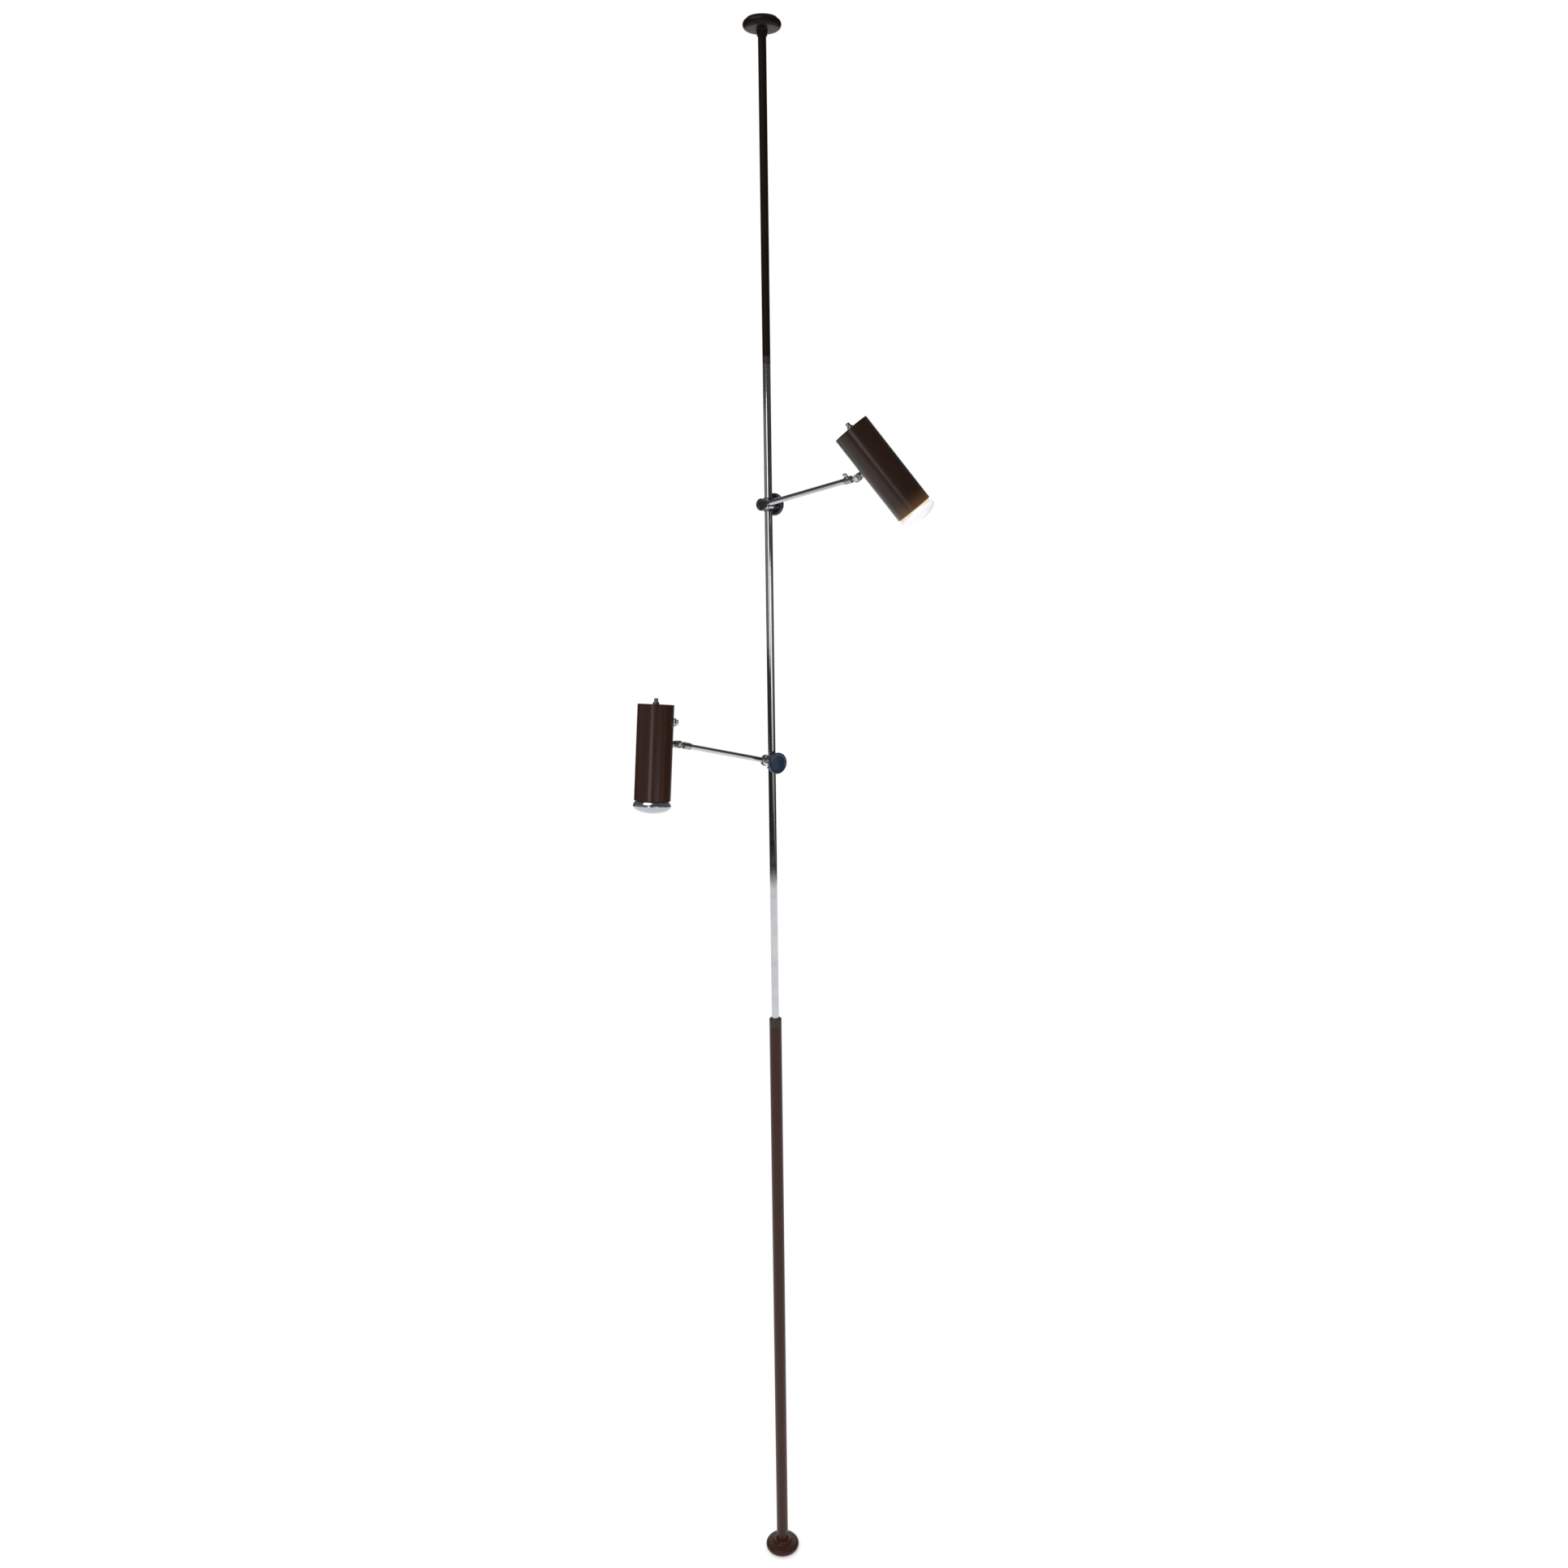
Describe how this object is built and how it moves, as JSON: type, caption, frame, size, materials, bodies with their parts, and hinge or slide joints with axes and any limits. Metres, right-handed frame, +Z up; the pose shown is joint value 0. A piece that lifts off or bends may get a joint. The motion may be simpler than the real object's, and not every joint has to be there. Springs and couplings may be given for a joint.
{
  "type": "tension pole lamp",
  "caption": "Floor-to-ceiling sprung pole with two cylindrical spotlights on tilting arms, each arm on a knob-locked clamp that slides and turns on a chrome mast.",
  "frame": {"origin": "on the floor, at the centre of the foot's pad, on the pole's axis", "axes": "+Z up along the pole; +X to the right and -Y towards the viewer of the picture"},
  "size_m": [0.4846, 0.2149, 2.75],
  "materials": {
    "lacquer": "gloss",
    "black_knob": "gloss",
    "chrome": "polished",
    "nickel": "satin",
    "nylon": "satin",
    "rubber": "matte",
    "spring_wire": "satin",
    "holder": "satin",
    "brass_cap": "satin",
    "lit_glass": "frosted",
    "silver_glass": "frosted and silvered",
    "cup_lacquer": "gloss"
  },
  "bodies": {
    "base": {"floor_pad": "rubber", "floor_foot": "lacquer", "lower_tube": "lacquer", "tube_collar": "nylon", "spring_seat": "nickel", "pole_spring": "spring_wire"},
    "mast": {"chrome_mast": "chrome", "mast_slider": "nylon", "mast_joiner": "holder", "upper_tube": "cup_lacquer", "ceiling_cup": "cup_lacquer", "ceiling_pad": "rubber"},
    "upper_sleeve": {"upper_liner": "nylon"},
    "upper_clamp": {"upper_clamp_body": "chrome", "upper_friction_washer": "holder"},
    "upper_big_knob": {"upper_clamp_knob": "black_knob"},
    "upper_small_knob": {"upper_tilt_knob": "black_knob"},
    "upper_boom": {"upper_arm": "chrome", "upper_arm_socket": "nickel"},
    "upper_screw": {"upper_thumb_screw": "nickel"},
    "upper_swivel_joint": {"upper_knuckle": "nickel"},
    "upper_spot": {"upper_bracket": "nickel", "upper_hinge_pin": "chrome", "upper_bracket_nut": "nickel", "upper_shade_tube": "lacquer", "upper_shade_cap": "lacquer", "upper_top_nut": "nickel", "upper_holder_stem": "nickel", "upper_lampholder": "holder", "upper_bulb_cap": "brass_cap", "upper_bulb": "lit_glass", "upper_switch_body": "holder", "upper_switch_nut": "chrome"},
    "upper_button": {"upper_switch_button": "chrome"},
    "lower_sleeve": {"lower_liner": "nylon"},
    "lower_clamp": {"lower_clamp_body": "chrome", "lower_friction_washer": "holder"},
    "lower_big_knob": {"lower_clamp_knob": "black_knob"},
    "lower_small_knob": {"lower_tilt_knob": "black_knob"},
    "lower_boom": {"lower_arm": "chrome", "lower_arm_socket": "nickel"},
    "lower_screw": {"lower_thumb_screw": "nickel"},
    "lower_swivel_joint": {"lower_knuckle": "nickel"},
    "lower_spot": {"lower_bracket": "nickel", "lower_hinge_pin": "chrome", "lower_bracket_nut": "nickel", "lower_shade_tube": "lacquer", "lower_shade_cap": "lacquer", "lower_top_nut": "nickel", "lower_holder_stem": "nickel", "lower_lampholder": "holder", "lower_bulb_cap": "brass_cap", "lower_bulb": "silver_glass", "lower_switch_body": "holder", "lower_switch_nut": "chrome"},
    "lower_button": {"lower_switch_button": "chrome"}
  },
  "joints": [
    {"name": "mast_slide", "type": "slide", "parent": "base", "child": "mast", "axis": [0, 0, 1], "range_m": [-0.1, 0.1], "stiffness_N_per_m": 500, "springref_m": 0.041, "deforming": ["pole_spring"]},
    {"name": "upper_height", "type": "slide", "parent": "mast", "child": "upper_sleeve", "axis": [0, 0, 1], "range_m": [-0.01, 0.2]},
    {"name": "upper_swing", "type": "hinge", "parent": "upper_sleeve", "child": "upper_clamp", "pos_m": [0, 0, 2.015], "axis": [0, 0, 1], "continuous": true},
    {"name": "upper_clamp_knob_turn", "type": "hinge", "parent": "upper_clamp", "child": "upper_big_knob", "pos_m": [0.00723, 0.00977, 2.015], "axis": [0.5948, 0.8039, 0], "range_deg": [0, 360]},
    {"name": "upper_tilt_knob_turn", "type": "hinge", "parent": "upper_clamp", "child": "upper_small_knob", "pos_m": [-0.00883, -0.01194, 2.015], "axis": [-0.5948, -0.8039, 0], "range_deg": [0, 360]},
    {"name": "upper_arm_tilt", "type": "hinge", "parent": "upper_clamp", "child": "upper_boom", "pos_m": [-0.00729, -0.00985, 2.015], "axis": [-0.5948, -0.8039, 0], "range_deg": [-37.3, 27.7]},
    {"name": "upper_thumb_screw_turn", "type": "hinge", "parent": "upper_boom", "child": "upper_screw", "pos_m": [0.12433, -0.11529, 2.05656], "axis": [-0.5819, -0.5759, 0.5743], "range_deg": [0, 360]},
    {"name": "upper_swivel", "type": "hinge", "parent": "upper_boom", "child": "upper_swivel_joint", "pos_m": [0.14194, -0.12027, 2.05548], "axis": [0.7854, -0.5812, 0.213], "range_deg": [-181.2, 138.8]},
    {"name": "upper_spot_tilt", "type": "hinge", "parent": "upper_swivel_joint", "child": "upper_spot", "pos_m": [0.14194, -0.12027, 2.05548], "axis": [0.4926, 0.7953, 0.3533], "range_deg": [-49.8, 90.2]},
    {"name": "upper_switch_press", "type": "slide", "parent": "upper_spot", "child": "upper_button", "axis": [0.1622, -0.9707, 0.1775], "range_m": [0, 0.002], "stiffness_N_per_m": 400},
    {"name": "lower_height", "type": "slide", "parent": "mast", "child": "lower_sleeve", "axis": [0, 0, 1], "range_m": [-0.3, 0.01]},
    {"name": "lower_swing", "type": "hinge", "parent": "lower_sleeve", "child": "lower_clamp", "pos_m": [0, 0, 1.5795], "axis": [0, 0, 1], "continuous": true},
    {"name": "lower_clamp_knob_turn", "type": "hinge", "parent": "lower_clamp", "child": "lower_big_knob", "pos_m": [0.00726, -0.00974, 1.5795], "axis": [0.5976, -0.8018, 0], "range_deg": [0, 360]},
    {"name": "lower_tilt_knob_turn", "type": "hinge", "parent": "lower_clamp", "child": "lower_small_knob", "pos_m": [-0.00887, 0.01191, 1.5795], "axis": [-0.5976, 0.8018, 0], "range_deg": [0, 360]},
    {"name": "lower_arm_tilt", "type": "hinge", "parent": "lower_clamp", "child": "lower_boom", "pos_m": [-0.00732, 0.00982, 1.5795], "axis": [-0.5976, 0.8018, 0], "range_deg": [-55.6, 9.4]},
    {"name": "lower_thumb_screw_turn", "type": "hinge", "parent": "lower_boom", "child": "lower_screw", "pos_m": [-0.14631, -0.08395, 1.62482], "axis": [-0.626, 0.7617, -0.1673], "range_deg": [0, 360]},
    {"name": "lower_swivel", "type": "hinge", "parent": "lower_boom", "child": "lower_swivel_joint", "pos_m": [-0.15405, -0.09954, 1.63059], "axis": [-0.7722, -0.5756, 0.2689], "range_deg": [-165.5, 154.5]},
    {"name": "lower_spot_tilt", "type": "hinge", "parent": "lower_swivel_joint", "child": "lower_spot", "pos_m": [-0.15405, -0.09954, 1.63059], "axis": [0.6155, -0.7827, 0.0923], "range_deg": [-77.5, 62.5]},
    {"name": "lower_switch_press", "type": "slide", "parent": "lower_spot", "child": "lower_button", "axis": [-0.9983, 0.025, 0.0519], "range_m": [0, 0.002], "stiffness_N_per_m": 400}
  ]
}
